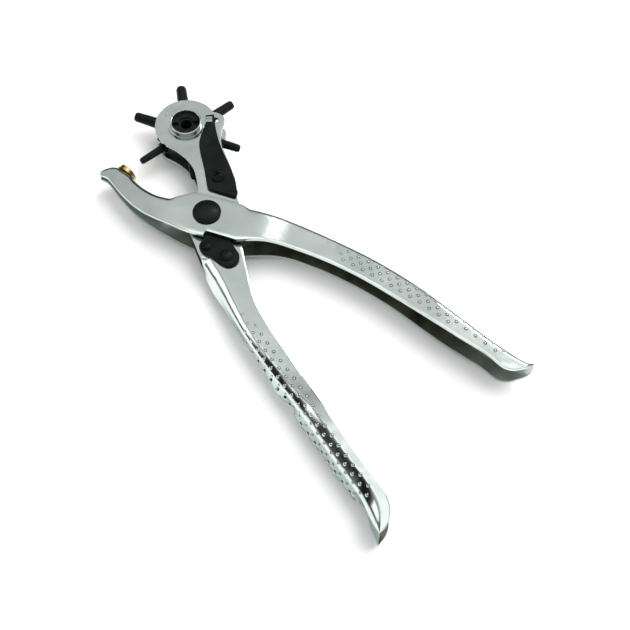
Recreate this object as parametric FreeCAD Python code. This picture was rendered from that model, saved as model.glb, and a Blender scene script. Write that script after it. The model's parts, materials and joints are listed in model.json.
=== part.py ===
import FreeCAD, Part
import math
import os

from FreeCAD import Vector

# Rotary hole punch, millimetres. The model is drawn about the main pivot, with the
# mid-plane of the tool at z = 0, and moved to its own frame when it is written.

# Sheet metal and levels above the mid-plane
ARM_SHEET = 1.8
HANDLE_SHEET = 1.6
PLATE = 1.5
ARM_HALF = 8.5
ARM_WAIST_HALF = 6.4
ARM_TOE_HALF = 5.2
ARM_TIP_HALF = 2.0
HANDLE_HALF = 5.1
HANDLE_END_HALF = 8.3
PLATE_TOP = HANDLE_HALF + PLATE
RUNNING = 0.05
SLIP = 0.1

# Main pivot and fasteners
PIVOT_R = 3.5
PIVOT_HEAD_R = 7.0
PIVOT_HEAD_RISE = 2.3
BUSH_R = 4.8
RIVET_R = 1.7
LINK_RIVET = (10.2, -23.2)
LINK_SCREW = (0.4, -18.1)
TIE_RADIUS = 6.6
TIE_R = 1.4

# Brass anvil on the jaw and the closing angle that brings a tube square to it
ANVIL_SEAT = (-42.75, 28.05)
ANVIL_ANGLE = 49.0
ANVIL_R = 5.6
ANVIL_THICK = 2.3
ANVIL_STEM_R = 2.2
CLOSE_ANGLE = 10.0
TIP_GAP = 0.05

# Opening spring
SPRING_WIRE_R = 0.65
SPRING_COIL_R = 5.9
SPRING_FULL_TURNS = 3
SPRING_ARM_END = (32.0, -2.4)
SPRING_LEG_STEP = 3.0
SPRING_COIL_STEP = 15.0
SPRING_SCREW_END = (4.3, -20.0)

# Turret
TUBE_REACH = 29.0
TUBE_COUNT = 6
DRUM_HALF = 5.0
DRUM_FLAT = 13.5
DRUM_CORNER = 14.3
CHUTE_R = 2.9
JOURNAL_R = 7.0
JOURNAL_TOP = 7.5
RING_TOP = 9.5
RING_FLANGE_R = 9.3
RING_WALL_R = 8.1
TUBE_SEAT_R = 2.8
TUBE_SEAT_START = 9.5
COLLAR_LENGTH = 1.9
# Outer radius at the tip of each tube, counted anticlockwise from the one that faces the anvil
TUBE_TIP_RADII = (1.75, 1.5, 2.05, 2.35, 2.75, 2.55)
CUTTING_WALL = 0.45

# Lock lever
LEVER_PIVOT = (4.8, 21.4)
LEVER_BOTTOM = PLATE_TOP + SLIP
LEVER_THICK = 1.6
LEVER_TOP = LEVER_BOTTOM + LEVER_THICK
LEVER_TRAVEL = 5.0
SCREW_R = 1.9
PAWL_PIN = (-1.2, 57.4)
PAWL_PIN_R = 1.2


def point(xy, z=0.0):
    return Vector(xy[0], xy[1], z)


def polar(radius, degrees, centre=(0.0, 0.0)):
    angle = math.radians(degrees)
    return (centre[0] + radius * math.cos(angle), centre[1] + radius * math.sin(angle))


def turned(xy, degrees):
    radius = math.hypot(xy[0], xy[1])
    return polar(radius, math.degrees(math.atan2(xy[1], xy[0])) + degrees)


def line(a, b):
    return Part.makeLine(point(a), point(b))


def arc(a, b, c):
    return Part.Arc(point(a), point(b), point(c)).toShape()


def smooth(points, start=None, end=None):
    curve = Part.BSplineCurve()
    places = [point(p) for p in points]
    if start and end:
        curve.interpolate(Points=places, InitialTangent=point(start), FinalTangent=point(end))
    else:
        curve.interpolate(Points=places)
    return curve.toShape()


def chain(points):
    return [line(a, b) for a, b in zip(points, points[1:])]


def prism(edges, low, high):
    wire = Part.Wire(Part.__sortEdges__(edges))
    face = Part.Face(wire)
    face.translate(Vector(0, 0, low))
    return face.extrude(Vector(0, 0, high - low))


def polygon(points, low, high):
    return prism(chain(list(points) + [points[0]]), low, high)


def disc(centre, radius, low, high):
    return Part.makeCylinder(radius, high - low, point(centre, low))


def rod(start, direction, radius, length, end_radius=None):
    if end_radius is None or abs(end_radius - radius) < 1e-6:
        return Part.makeCylinder(radius, length, start, direction)
    return Part.makeCone(radius, end_radius, length, start, direction)


def dome(centre, radius, base, rise):
    """A rivet head: a flat-bottomed cap whose crown is part of a sphere."""
    rim = 0.5
    crown = rise - rim
    ball = (radius * radius + crown * crown) / (2 * crown)
    edges = [
        Part.makeLine(Vector(0, 0, 0), Vector(radius, 0, 0)),
        Part.makeLine(Vector(radius, 0, 0), Vector(radius, 0, rim)),
        Part.Arc(
            Vector(radius, 0, rim),
            Vector(radius * 0.55, 0, rise - ball + math.sqrt(ball * ball - (radius * 0.55) ** 2)),
            Vector(0, 0, rise),
        ).toShape(),
        Part.makeLine(Vector(0, 0, rise), Vector(0, 0, 0)),
    ]
    head = Part.Face(Part.Wire(edges)).revolve(Vector(0, 0, 0), Vector(0, 0, 1), 360)
    head.translate(point(centre, base))
    return head


def flipped(shape):
    return shape.mirror(Vector(0, 0, 0), Vector(0, 0, 1))


def both_sides(shape):
    return Part.makeCompound([shape, flipped(shape)])


def side_prism(levels, direction, drop=0.0, reach=260.0):
    """Everything between +h and -h, where h follows the levels along a direction in plan.

    levels holds (distance, half height) pairs joined by level-ended S curves; drop lowers h."""
    top = []
    for (d0, h0), (d1, h1) in zip(levels, levels[1:]):
        start = Vector(d0, 0, h0 - drop)
        end = Vector(d1, 0, h1 - drop)
        if abs(h0 - h1) < 1e-6:
            top.append(Part.makeLine(start, end))
        else:
            curve = Part.BSplineCurve()
            curve.interpolate(Points=[start, end], InitialTangent=Vector(1, 0, 0), FinalTangent=Vector(1, 0, 0))
            top.append(curve.toShape())
    low = [e.mirror(Vector(0, 0, 0), Vector(0, 0, 1)) for e in top]
    first, last = levels[0], levels[-1]
    ends = [
        Part.makeLine(Vector(d, 0, h - drop), Vector(d, 0, drop - h)) for d, h in (first, last)
    ]
    face = Part.Face(Part.Wire(Part.__sortEdges__(top + low + ends)))
    face.translate(Vector(0, -reach / 2, 0))
    slab = face.extrude(Vector(0, reach, 0))
    slab.rotate(Vector(0, 0, 0), Vector(0, 0, 1), direction)
    return slab


def inset(edge, distance, count=14, part_way=1.0):
    """A curve beside a smooth edge, offset to its right-hand side."""
    points = []
    first = edge.FirstParameter
    last = first + (edge.LastParameter - first) * part_way
    for i in range(count + 1):
        at = first + (last - first) * i / count
        along = edge.tangentAt(at)
        place = edge.valueAt(at)
        points.append((place.x + along.y * distance, place.y - along.x * distance))
    return smooth(points), points[0], points[-1]


# ---- anvil arm: jaw and upper handle in one pressed channel ----

ANVIL_NORMAL = polar(1.0, ANVIL_ANGLE)
ANVIL_ALONG = polar(1.0, ANVIL_ANGLE - 90.0)
FLAT_BEFORE = 4.2
FLAT_AFTER = 4.9
FLAT_START = (ANVIL_SEAT[0] - FLAT_BEFORE * ANVIL_ALONG[0], ANVIL_SEAT[1] - FLAT_BEFORE * ANVIL_ALONG[1])
FLAT_END = (ANVIL_SEAT[0] + FLAT_AFTER * ANVIL_ALONG[0], ANVIL_SEAT[1] + FLAT_AFTER * ANVIL_ALONG[1])
JAW_TIP_LOW = (-55.0, 26.4)
ARM_END = (153.0, -82.4)
NOTCH = ((14.7, -15.8), (0.0, -10.6), (-1.3, -12.9))
SLOT_JAW = (-19.0, 9.6)
SLOT_HANDLE = (21.6, 2.9)

ARM_LEVELS = ((-70, ARM_HALF), (22, ARM_HALF), (44, ARM_WAIST_HALF), (84, ARM_WAIST_HALF),
              (116, ARM_HALF), (134, ARM_HALF), (147.5, ARM_TOE_HALF), (156, ARM_TIP_HALF))
JAW_TAPER_DIRECTION = 23.5
JAW_LEAN = 14.0
JAW_KNEE = -16.6
JAW_FRONT = -41.5
JAW_BEND_R = 60.0
WEDGE_REACH = 200.0


def arm_nose():
    return smooth([JAW_TIP_LOW, (-55.4, 28.4), (-54.2, 30.2), (-51.5, 31.3), (-48.3, 31.5), FLAT_START])


def jaw_web():
    return smooth([FLAT_END, (-37.3, 22.2), (-34.0, 18.6), (-28.6, 14.1), (-23.8, 11.3), SLOT_JAW])


def handle_back():
    return smooth([SLOT_HANDLE, (28.4, 1.2), (35.7, -0.9), (55.2, -9.9), (93.3, -33.3), (115.9, -53.3),
                   (126.0, -62.5), (136.0, -71.3), (144.3, -77.6), (149.9, -81.1), ARM_END])


def slot_crown():
    """The flange edge rises over the slot that the punch head passes through."""
    return smooth([SLOT_JAW, (-14.6, 9.9), (-7.7, 11.6), (1.2, 10.0), (11.1, 6.9), SLOT_HANDLE])


def arm_open_side():
    handle = smooth([ARM_END, (151.3, -83.6), (147.3, -85.0), (142.5, -85.7), (138.4, -84.5), (133.5, -79.9),
                     (124.6, -72.9), (110.6, -62.5), (92.5, -48.2), (69.3, -32.3), (45.5, -20.4),
                     (31.1, -15.9), NOTCH[0]])
    jaw = smooth([NOTCH[2], (-7.7, -11.1), (-17.6, -6.0), (-32.3, 3.0), (-40.5, 10.6), (-46.9, 18.6),
                  (-50.9, 24.0), (-52.9, 25.6), JAW_TIP_LOW])
    return [handle] + chain(NOTCH) + [jaw]


def jaw_wedge(drop=0.0):
    """The two flanges lean towards each other from the pivot to the tip of the jaw."""
    lean = math.radians(JAW_LEAN)
    bend = JAW_BEND_R * math.tan(lean / 2)
    top = ARM_HALF - drop
    knee = (JAW_KNEE - bend * math.cos(lean), top - bend * math.sin(lean))
    crown = (JAW_KNEE + bend - JAW_BEND_R * math.sin(lean / 2), top - JAW_BEND_R * (1 - math.cos(lean / 2)))
    outline = [(JAW_FRONT, top - (JAW_KNEE - JAW_FRONT) * math.tan(lean)), knee, crown,
               (JAW_KNEE + bend, top), (200.0, top)]
    ends = [Vector(x, 0, z) for x, z in outline]
    upper = [Part.makeLine(ends[0], ends[1]), Part.Arc(ends[1], ends[2], ends[3]).toShape(),
             Part.makeLine(ends[3], ends[4])]
    lower = [flipped(edge) for edge in upper]
    sides = [Part.makeLine(end, Vector(end.x, 0, -end.z)) for end in (ends[0], ends[4])]
    face = Part.Face(Part.Wire(Part.__sortEdges__(upper + lower + sides)))
    face.translate(Vector(0, -WEDGE_REACH, 0))
    slab = face.extrude(Vector(0, 2 * WEDGE_REACH, 0))
    slab.rotate(Vector(0, 0, 0), Vector(0, 0, 1), JAW_TAPER_DIRECTION)
    return slab


def arm_void():
    """The inside of the channel, open on the side that faces the other handle."""
    nose_start = (-53.4, 24.4)
    nose_end = (FLAT_START[0] - ARM_SHEET * ANVIL_NORMAL[0], FLAT_START[1] - ARM_SHEET * ANVIL_NORMAL[1])
    nose = smooth([nose_start, (-53.5, 27.4), (-51.9, 29.4), (-49.2, 29.8), nose_end])
    jaw, jaw_start, jaw_end = inset(jaw_web(), ARM_SHEET, 10)
    back, back_start, back_end = inset(handle_back(), ARM_SHEET, 24, 0.99)
    slot = chain([jaw_end, (SLOT_JAW[0], 25.0), (SLOT_HANDLE[0], 25.0), back_start])
    rim = [back_end, (150.0, -95.0), (60.0, -95.0), (-25.0, -40.0), (-60.0, 0.0), (-58.0, 20.0), nose_start]
    edges = [nose, line(nose_end, jaw_start), jaw, back] + slot + chain(rim)
    space = prism(edges, -20, 20)
    space = space.common(side_prism(ARM_LEVELS, 0.0, ARM_SHEET))
    return space.common(jaw_wedge(ARM_SHEET))


def anvil_arm():
    flat = line(FLAT_START, FLAT_END)
    outline = [arm_nose(), flat, jaw_web(), slot_crown(), handle_back()] + arm_open_side()
    body = prism(outline, -20, 20)
    body = body.common(side_prism(ARM_LEVELS, 0.0)).common(jaw_wedge())
    body = body.cut(arm_void())
    slot_high = ARM_HALF - ARM_SHEET
    body = body.cut(polygon([(SLOT_JAW[0], 25.0), (SLOT_JAW[0], 2.0), (SLOT_HANDLE[0], -3.0),
                             (SLOT_HANDLE[0], 25.0)], -slot_high, slot_high))
    body = body.cut(disc((0, 0), PIVOT_R, -20, 20))
    return body.cut(anvil_stem(0.0))


def anvil_stem(grip):
    seat = point(ANVIL_SEAT)
    normal = point(ANVIL_NORMAL)
    return rod(seat - normal * (ARM_SHEET + grip), normal, ANVIL_STEM_R, ARM_SHEET + grip)


def anvil_disc():
    seat = point(ANVIL_SEAT)
    normal = point(ANVIL_NORMAL)
    pad = rod(seat, normal, ANVIL_R, ANVIL_THICK)
    rim = [e for e in pad.Edges if e.CenterOfMass.distanceToPoint(seat + normal * ANVIL_THICK) < 0.2]
    pad = pad.makeChamfer(0.35, rim)
    head = rod(seat - normal * (ARM_SHEET + 0.7), normal, ANVIL_STEM_R + 0.8, 0.7)
    return pad.fuse([anvil_stem(0.7), head]).removeSplitter()


def main_pivot_rivet():
    head = dome((0, 0), PIVOT_HEAD_R, ARM_HALF, PIVOT_HEAD_RISE)
    shank = disc((0, 0), PIVOT_R, -ARM_HALF, ARM_HALF)
    return shank.fuse([head, flipped(head)]).removeSplitter()


# ---- lower handle and the black link plates ----

HANDLE_LEVELS = ((-60, HANDLE_HALF), (84, HANDLE_HALF), (112, HANDLE_END_HALF), (200, HANDLE_END_HALF))
HANDLE_TIP = (79.8, -163.2)
WEB_TOP = (-1.4, -26.0)


def handle_web():
    """The grip bulges twice and is waisted between the bulges and before the tip."""
    return smooth([WEB_TOP, (-0.6, -31.6), (2.6, -38.1), (8.4, -45.8), (16.6, -60.1), (27.2, -78.6),
                   (33.0, -88.0), (38.4, -92.9), (42.2, -97.4), (43.8, -103.2), (46.8, -109.3), (55.6, -122.9),
                   (65.0, -136.4), (70.2, -142.4), (73.0, -147.4), (75.0, -154.0), HANDLE_TIP])


def handle_open_side():
    return smooth([(16.9, -14.3), (19.6, -27.9), (24.3, -47.4), (36.4, -69.9), (54.7, -100.3),
                   (76.4, -135.0), (82.8, -145.2), (84.7, -152.0), (83.0, -159.4), HANDLE_TIP])


def lower_handle():
    web = handle_web()
    crown = [line(WEB_TOP, (-8.1, -9.7)), line((-8.1, -9.7), (-9.9, -1.4)),
             arc((-9.9, -1.4), (2.0, 9.8), (9.6, 2.8)), line((9.6, 2.8), (16.9, -14.3))]
    body = prism([web, handle_open_side()] + crown, -20, 20)
    body = body.common(side_prism(HANDLE_LEVELS, -90.0))
    inner, inner_start, inner_end = inset(web, -HANDLE_SHEET, 32)
    rim = [inner_end, (81.2, -157.5), (88.0, -153.0), (110.0, -60.0), (30.0, 30.0), (-30.0, 20.0),
           (-12.0, -27.5), inner_start]
    space = prism([inner] + chain(rim), -20, 20).common(side_prism(HANDLE_LEVELS, -90.0, HANDLE_SHEET))
    body = body.cut(space)
    for centre, radius in [((0, 0), PIVOT_R + RUNNING), (LINK_RIVET, RIVET_R), (LINK_SCREW, RIVET_R)]:
        body = body.cut(disc(centre, radius, -20, 20))
    for place in tie_places():
        body = body.cut(disc(place, TIE_R, -20, 20))
    return body


def link_plate():
    """A black cheek plate that lies on the handle's flange, below the head plate's tail."""
    top_left = (0.4, -9.5)
    top_right = (10.4, -13.0)
    right_low = (15.9, -21.9)
    left_low = (8.6, -28.7)
    foot = (-0.6, -22.3)
    heel = (-3.2, -17.2)
    edges = chain([top_left, top_right, right_low])
    edges.append(arc(right_low, (14.9, -27.9), left_low))
    edges.append(line(left_low, foot))
    edges.append(arc(foot, (-2.7, -20.2), heel))
    edges.append(line(heel, top_left))
    plate = prism(edges, HANDLE_HALF, PLATE_TOP)
    plate = plate.cut(disc((0, 0), TAIL_R + SLIP, 0, 20))
    return plate.cut(disc(LINK_RIVET, RIVET_R, 0, 20)).cut(disc(LINK_SCREW, RIVET_R, 0, 20))


def link_rivet():
    head = dome(LINK_RIVET, 3.3, PLATE_TOP, 1.4)
    return disc(LINK_RIVET, RIVET_R, -PLATE_TOP, PLATE_TOP).fuse([head, flipped(head)]).removeSplitter()


def link_screw():
    """A low domed screw that also holds the leg of the opening spring."""
    head = dome(LINK_SCREW, 2.6, PLATE_TOP, 1.2)
    shank = disc(LINK_SCREW, RIVET_R, -PLATE_TOP, PLATE_TOP)
    tail = disc(LINK_SCREW, RIVET_R + 0.9, -PLATE_TOP - 0.9, -PLATE_TOP)
    return shank.fuse([head, tail]).removeSplitter()


def tie_places():
    return [polar(TIE_RADIUS, angle) for angle in (75.0, 255.0)]


def tie_rivets():
    """Flush rivets that join the head plates to the handle's flanges, beside the pivot."""
    inner = HANDLE_HALF - HANDLE_SHEET
    pieces = []
    for place in tie_places():
        pin = disc(place, TIE_R, inner, PLATE_TOP)
        pieces += [pin, flipped(pin)]
    return Part.makeCompound(pieces)


def pivot_bush():
    inner = HANDLE_HALF - HANDLE_SHEET
    return disc((0, 0), BUSH_R, -inner, inner).cut(disc((0, 0), PIVOT_R + RUNNING, -20, 20))


def tangent_angle(target, side):
    """Where round the coil a straight leg must leave it to reach the target."""
    distance = math.hypot(target[0], target[1])
    spread = math.degrees(math.acos(SPRING_COIL_R / distance))
    return math.degrees(math.atan2(target[1], target[0])) + side * spread


def spring_leg(angle, target, level):
    """Points along a straight leg, from the coil outwards."""
    start = point(polar(SPRING_COIL_R, angle), level)
    way = point(target, level) - start
    count = max(3, int(way.Length / SPRING_LEG_STEP))
    return [start + way * (i / count) for i in range(1, count + 1)]


def opening_spring():
    """A torsion coil round the pivot bush, one leg on the arm's web and one on the link screw."""
    first = tangent_angle(SPRING_ARM_END, 1)
    last = tangent_angle(SPRING_SCREW_END, -1) + 360.0
    sweep = 360.0 * SPRING_FULL_TURNS + last - first
    height = (2 * SPRING_WIRE_R + 0.15) * sweep / 360.0
    count = int(sweep / SPRING_COIL_STEP)
    coil = []
    for i in range(count + 1):
        part_way = i / count
        coil.append(point(polar(SPRING_COIL_R, first + sweep * part_way), height * (part_way - 0.5)))
    path = spring_leg(first, SPRING_ARM_END, -height / 2)[::-1] + coil
    path += spring_leg(last, SPRING_SCREW_END, height / 2)
    centre_line = Part.BSplineCurve()
    centre_line.interpolate(Points=path)
    wire = Part.Wire(centre_line.toShape())
    section = Part.Wire(Part.makeCircle(SPRING_WIRE_R, path[0], path[1] - path[0]))
    return wire.makePipeShell([section], True, False)


# ---- punch head: two side plates that carry the turret ----

TAIL_R = 9.3


def turret_centre():
    """Where the turret stands when open, so that it closes square on the anvil."""
    reach = ANVIL_THICK + TUBE_REACH + TIP_GAP
    closed = (ANVIL_SEAT[0] + reach * ANVIL_NORMAL[0], ANVIL_SEAT[1] + reach * ANVIL_NORMAL[1])
    return turned(closed, -CLOSE_ANGLE)


CENTRE = turret_centre()
HEAD_R = 15.9


def pawl_slot(low, high):
    """The curved window that the pawl pin swings through."""
    arm = math.hypot(PAWL_PIN[0] - LEVER_PIVOT[0], PAWL_PIN[1] - LEVER_PIVOT[1])
    start = math.degrees(math.atan2(PAWL_PIN[1] - LEVER_PIVOT[1], PAWL_PIN[0] - LEVER_PIVOT[0]))
    half = PAWL_PIN_R + 0.4
    stop = start - LEVER_TRAVEL
    middle = (start + stop) / 2
    ends = [polar(arm, start, LEVER_PIVOT), polar(arm, stop, LEVER_PIVOT)]
    sides = []
    for radius in (arm - half, arm + half):
        sides.append([polar(radius, angle, LEVER_PIVOT) for angle in (start, middle, stop)])
    window = prism([arc(*sides[0]), arc(*sides[1]), line(sides[0][0], sides[1][0]),
                    line(sides[0][2], sides[1][2])], low, high)
    return window.fuse([disc(end, half, low, high) for end in ends])


def head_plate():
    rim_start = polar(HEAD_R, 200.0, CENTRE)
    rim_end = polar(HEAD_R, 31.0, CENTRE)
    rim = arc(rim_start, polar(HEAD_R, 110.0, CENTRE), rim_end)
    shoulder = (14.4, 9.6)
    lug = smooth([rim_end, (3.9, 61.9), (6.3, 59.6), (6.6, 56.0), (5.6, 51.0), (5.2, 45.9), (8.4, 34.5),
                  (12.6, 22.0), (14.1, 14.5), shoulder])
    stop_lobe = chain([shoulder, (16.4, 4.6), (SLOT_HANDLE[0] - SLIP, 2.2), (SLOT_HANDLE[0] - SLIP, -1.0)])
    tail_start = polar(TAIL_R, -35.0)
    tail_end = polar(TAIL_R, 170.0)
    stop_lobe.append(line((SLOT_HANDLE[0] - SLIP, -1.0), tail_start))
    tail = arc(tail_start, polar(TAIL_R, -110.0), tail_end)
    neck = smooth([tail_end, (-5.4, 13.0), (-6.0, 20.5), (-8.2, 28.0), (-13.2, 35.2), (-21.0, 41.2),
                   rim_start], (0.5, 1), (-0.5, 1))
    plate = prism([rim, lug, tail, neck] + stop_lobe, HANDLE_HALF, PLATE_TOP)
    plate = plate.cut(disc(CENTRE, RING_WALL_R, 0, 20))
    plate = plate.cut(disc((0, 0), PIVOT_R + RUNNING, 0, 20))
    plate = plate.cut(disc(LEVER_PIVOT, SCREW_R, 0, 20))
    for place in tie_places():
        plate = plate.cut(disc(place, TIE_R, 0, 20))
    return plate


def head_plate_top():
    return head_plate().cut(pawl_slot(0, 20))


def head_plate_bottom():
    return flipped(head_plate())


def turret_ring():
    """A flanged bush pressed into a head plate; the turret's journal turns in it."""
    flange = disc(CENTRE, RING_FLANGE_R, PLATE_TOP, PLATE_TOP + 1.2)
    lip = disc(CENTRE, RING_WALL_R, HANDLE_HALF, RING_TOP)
    ring = flange.fuse(lip).removeSplitter().cut(disc(CENTRE, JOURNAL_R + RUNNING, 0, 20))
    crest = [e for e in ring.Edges if abs(e.CenterOfMass.z - RING_TOP) < 0.01]
    return ring.makeFillet(0.4, crest)


def neck_spacer():
    return disc(LEVER_PIVOT, 3.6, -HANDLE_HALF, HANDLE_HALF).cut(disc(LEVER_PIVOT, SCREW_R, -20, 20))


def lever_screw():
    head = dome(LEVER_PIVOT, 3.4, LEVER_TOP + SLIP, 2.1)
    shank = disc(LEVER_PIVOT, SCREW_R, -PLATE_TOP - 2.6, LEVER_TOP + SLIP)
    screw = shank.fuse(head).removeSplitter()
    for angle in (35.0, 125.0):
        blade = Part.makeBox(3.8, 0.8, 3.0, Vector(-1.9, -0.4, 0))
        blade.rotate(Vector(0, 0, 0), Vector(0, 0, 1), angle)
        blade.translate(point(LEVER_PIVOT, LEVER_TOP + 0.9))
        screw = screw.cut(blade)
    return screw


def lever_nut():
    corners = [polar(3.5, 60.0 * i, LEVER_PIVOT) for i in range(6)]
    nut = polygon(corners, -PLATE_TOP - 2.2, -PLATE_TOP)
    return nut.cut(disc(LEVER_PIVOT, SCREW_R, -20, 20))


# ---- lock lever ----


def lock_lever():
    right = smooth([(1.9, 55.4), (3.0, 49.0), (4.8, 42.0), (9.1, 31.0), (12.8, 21.2), (14.3, 13.2)],
                   (0.1, -1), (0.1, -1))
    toe = arc((14.3, 13.2), (14.3, 10.7), (12.4, 10.0))
    heel = arc((1.4, 14.0), (-0.1, 15.0), (-0.7, 16.8))
    left = smooth([(-0.7, 16.8), (-3.5, 31.3), (-5.5, 42.7), (-4.5, 48.2), (-2.6, 55.4)],
                  (-0.2, 1), (0.2, 1))
    lever = prism([right, toe, line((12.4, 10.0), (1.4, 14.0)), heel, left, line((-2.6, 55.4), (1.9, 55.4))],
                  LEVER_BOTTOM, LEVER_TOP)
    finger = polygon([(0.6, 55.4), (1.9, 55.4), (1.3, 60.0), (-2.9, 59.4), (-2.9, 58.8), (0.4, 59.0)],
                     LEVER_BOTTOM, LEVER_TOP)
    lever = lever.fuse(finger).removeSplitter()
    return lever.cut(disc(LEVER_PIVOT, SCREW_R + RUNNING, 0, 20))


def index_pawl():
    """The bright block at the lever's end; its pin reaches down to the turret's dimples."""
    block = polygon([(-2.6, 55.4), (0.6, 55.4), (0.4, 59.0), (-2.6, 58.8)], LEVER_BOTTOM, LEVER_TOP - 0.2)
    groove = Part.makeBox(6, 0.7, 0.6, Vector(-4, 56.9, LEVER_TOP - 0.6))
    pin = disc(PAWL_PIN, PAWL_PIN_R, DRUM_HALF + SLIP, LEVER_BOTTOM)
    return block.cut(groove).fuse(pin).removeSplitter()


# ---- turret ----


def tube_angles():
    first = 180.0 + ANVIL_ANGLE - CLOSE_ANGLE
    return [first + 360.0 / TUBE_COUNT * i for i in range(TUBE_COUNT)]


def turret_body():
    corners = []
    step = 360.0 / TUBE_COUNT
    spread = 12.0
    for angle in tube_angles():
        reach = DRUM_CORNER / math.cos(math.radians(spread))
        corners += [polar(reach, angle - spread, CENTRE), polar(reach, angle + spread, CENTRE)]
    drum = polygon(corners, -DRUM_HALF, DRUM_HALF)
    for angle in tube_angles():
        notch = Part.makeBox(10, 30, 20, Vector(DRUM_FLAT, -15, -10))
        notch.rotate(Vector(0, 0, 0), Vector(0, 0, 1), angle + step / 2)
        notch.translate(point(CENTRE))
        drum = drum.cut(notch)
    journal = disc(CENTRE, JOURNAL_R, DRUM_HALF, JOURNAL_TOP)
    for angle in (5.0, 185.0):
        journal = journal.cut(disc(polar(5.3, angle, CENTRE), 1.6, JOURNAL_TOP - 1.6, 20))
    journal = journal.cut(disc(CENTRE, 4.1, JOURNAL_TOP - 0.7, 20))
    drum = drum.fuse([journal, flipped(journal)]).removeSplitter()
    drum = drum.cut(disc(CENTRE, CHUTE_R, -20, 20))
    for angle in tube_angles():
        out = point(polar(1.0, angle))
        drum = drum.cut(rod(point(CENTRE) + out * TUBE_SEAT_START, out, TUBE_SEAT_R, 10))
        drum = drum.cut(rod(point(CENTRE), out, TUBE_SEAT_R - 0.5, TUBE_SEAT_START + 1))
        dimple = rod(point(polar(12.0, angle - 25.8, CENTRE), DRUM_HALF - 0.4), Vector(0, 0, 1), 0.5, 0.4, 0.9)
        drum = drum.cut(dimple)
    return drum


def punch_tube(index):
    """A hardened cutting tube, screwed into the drum, bored right through."""
    tip = TUBE_TIP_RADII[index]
    out = point(polar(1.0, tube_angles()[index]))
    base = max(tip + 0.25, 1.95)
    collar_start = point(CENTRE) + out * DRUM_CORNER
    collar_r = max(tip + 0.75, TUBE_SEAT_R + 0.1)
    shank = rod(point(CENTRE) + out * TUBE_SEAT_START, out, TUBE_SEAT_R, DRUM_CORNER - TUBE_SEAT_START)
    collar = rod(collar_start, out, collar_r, COLLAR_LENGTH)
    body_start = collar_start + out * COLLAR_LENGTH
    sharpened = 1.1
    length = TUBE_REACH - DRUM_CORNER - COLLAR_LENGTH - sharpened
    barrel = rod(body_start, out, base, length, tip)
    edge = rod(body_start + out * length, out, tip, sharpened, tip - CUTTING_WALL + 0.12)
    tube = shank.fuse([collar, barrel, edge]).removeSplitter()
    bore = rod(point(CENTRE) + out * (TUBE_SEAT_START - 1), out, tip - CUTTING_WALL, TUBE_REACH)
    return tube.cut(bore)


def build():
    nodes = {
        "anvil_arm": anvil_arm(),
        "anvil_disc": anvil_disc(),
        "main_pivot_rivet": main_pivot_rivet(),
        "opening_spring": opening_spring(),
        "lower_handle": lower_handle(),
        "link_plate_top": link_plate(),
        "link_plate_bottom": flipped(link_plate()),
        "link_rivet": link_rivet(),
        "link_screw": link_screw(),
        "head_tie_rivets": tie_rivets(),
        "pivot_bush": pivot_bush(),
        "head_plate_top": head_plate_top(),
        "head_plate_bottom": head_plate_bottom(),
        "turret_ring_top": turret_ring(),
        "turret_ring_bottom": flipped(turret_ring()),
        "neck_spacer": neck_spacer(),
        "lever_screw": lever_screw(),
        "lever_nut": lever_nut(),
        "lock_lever": lock_lever(),
        "index_pawl": index_pawl(),
        "turret_body": turret_body(),
    }
    for i in range(TUBE_COUNT):
        nodes["punch_tube_%d" % (i + 1)] = punch_tube(i)
    return nodes


def main():
    os.makedirs("parts", exist_ok=True)
    nodes = build()
    box = Part.makeCompound(list(nodes.values())).BoundBox
    shift = Vector(-box.Center.x, -box.Center.y, -box.ZMin)
    for name, shape in nodes.items():
        shape.translate(shift)
        shape.exportStep("parts/%s.step" % name)
        print(name, shape.isValid(), len(shape.Solids), round(shape.Volume, 1))
    print("box", round(box.XLength, 2), round(box.YLength, 2), round(box.ZLength, 2))
    print("pivot", shift)
    print("turret", shift + point(CENTRE))
    print("lever", shift + point(LEVER_PIVOT))
    print("anvil face", shift + point(ANVIL_SEAT) + point(ANVIL_NORMAL) * ANVIL_THICK)


if __name__ == "__main__":
    main()
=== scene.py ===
import json
import math

import bpy
import numpy as np
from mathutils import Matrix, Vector


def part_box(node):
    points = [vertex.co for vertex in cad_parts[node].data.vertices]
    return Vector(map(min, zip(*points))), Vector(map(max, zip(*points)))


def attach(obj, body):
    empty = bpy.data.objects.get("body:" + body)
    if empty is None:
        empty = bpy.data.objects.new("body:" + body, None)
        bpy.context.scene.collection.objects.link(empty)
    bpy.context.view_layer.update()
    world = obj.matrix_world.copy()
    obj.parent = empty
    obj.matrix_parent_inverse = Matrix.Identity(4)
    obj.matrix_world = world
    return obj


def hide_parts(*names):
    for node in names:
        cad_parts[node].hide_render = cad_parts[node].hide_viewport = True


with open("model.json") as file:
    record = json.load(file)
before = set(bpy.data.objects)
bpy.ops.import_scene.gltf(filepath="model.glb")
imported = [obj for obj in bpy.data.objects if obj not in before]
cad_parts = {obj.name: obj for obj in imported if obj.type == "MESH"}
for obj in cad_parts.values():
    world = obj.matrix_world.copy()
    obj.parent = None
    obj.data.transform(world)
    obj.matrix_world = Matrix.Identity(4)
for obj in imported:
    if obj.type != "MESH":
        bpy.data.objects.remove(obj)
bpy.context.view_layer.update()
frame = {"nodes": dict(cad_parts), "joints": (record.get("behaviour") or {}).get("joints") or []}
NODES = frame["nodes"]
NODE_TOP = {name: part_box(name)[1].z for name in NODES}
JOINTS = {j["name"]: j for j in frame["joints"]}
PIVOT = Vector(JOINTS["squeeze"]["pos_m"])
TURRET = Vector(JOINTS["turret_spin"]["pos_m"])
MM = 0.001

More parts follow.
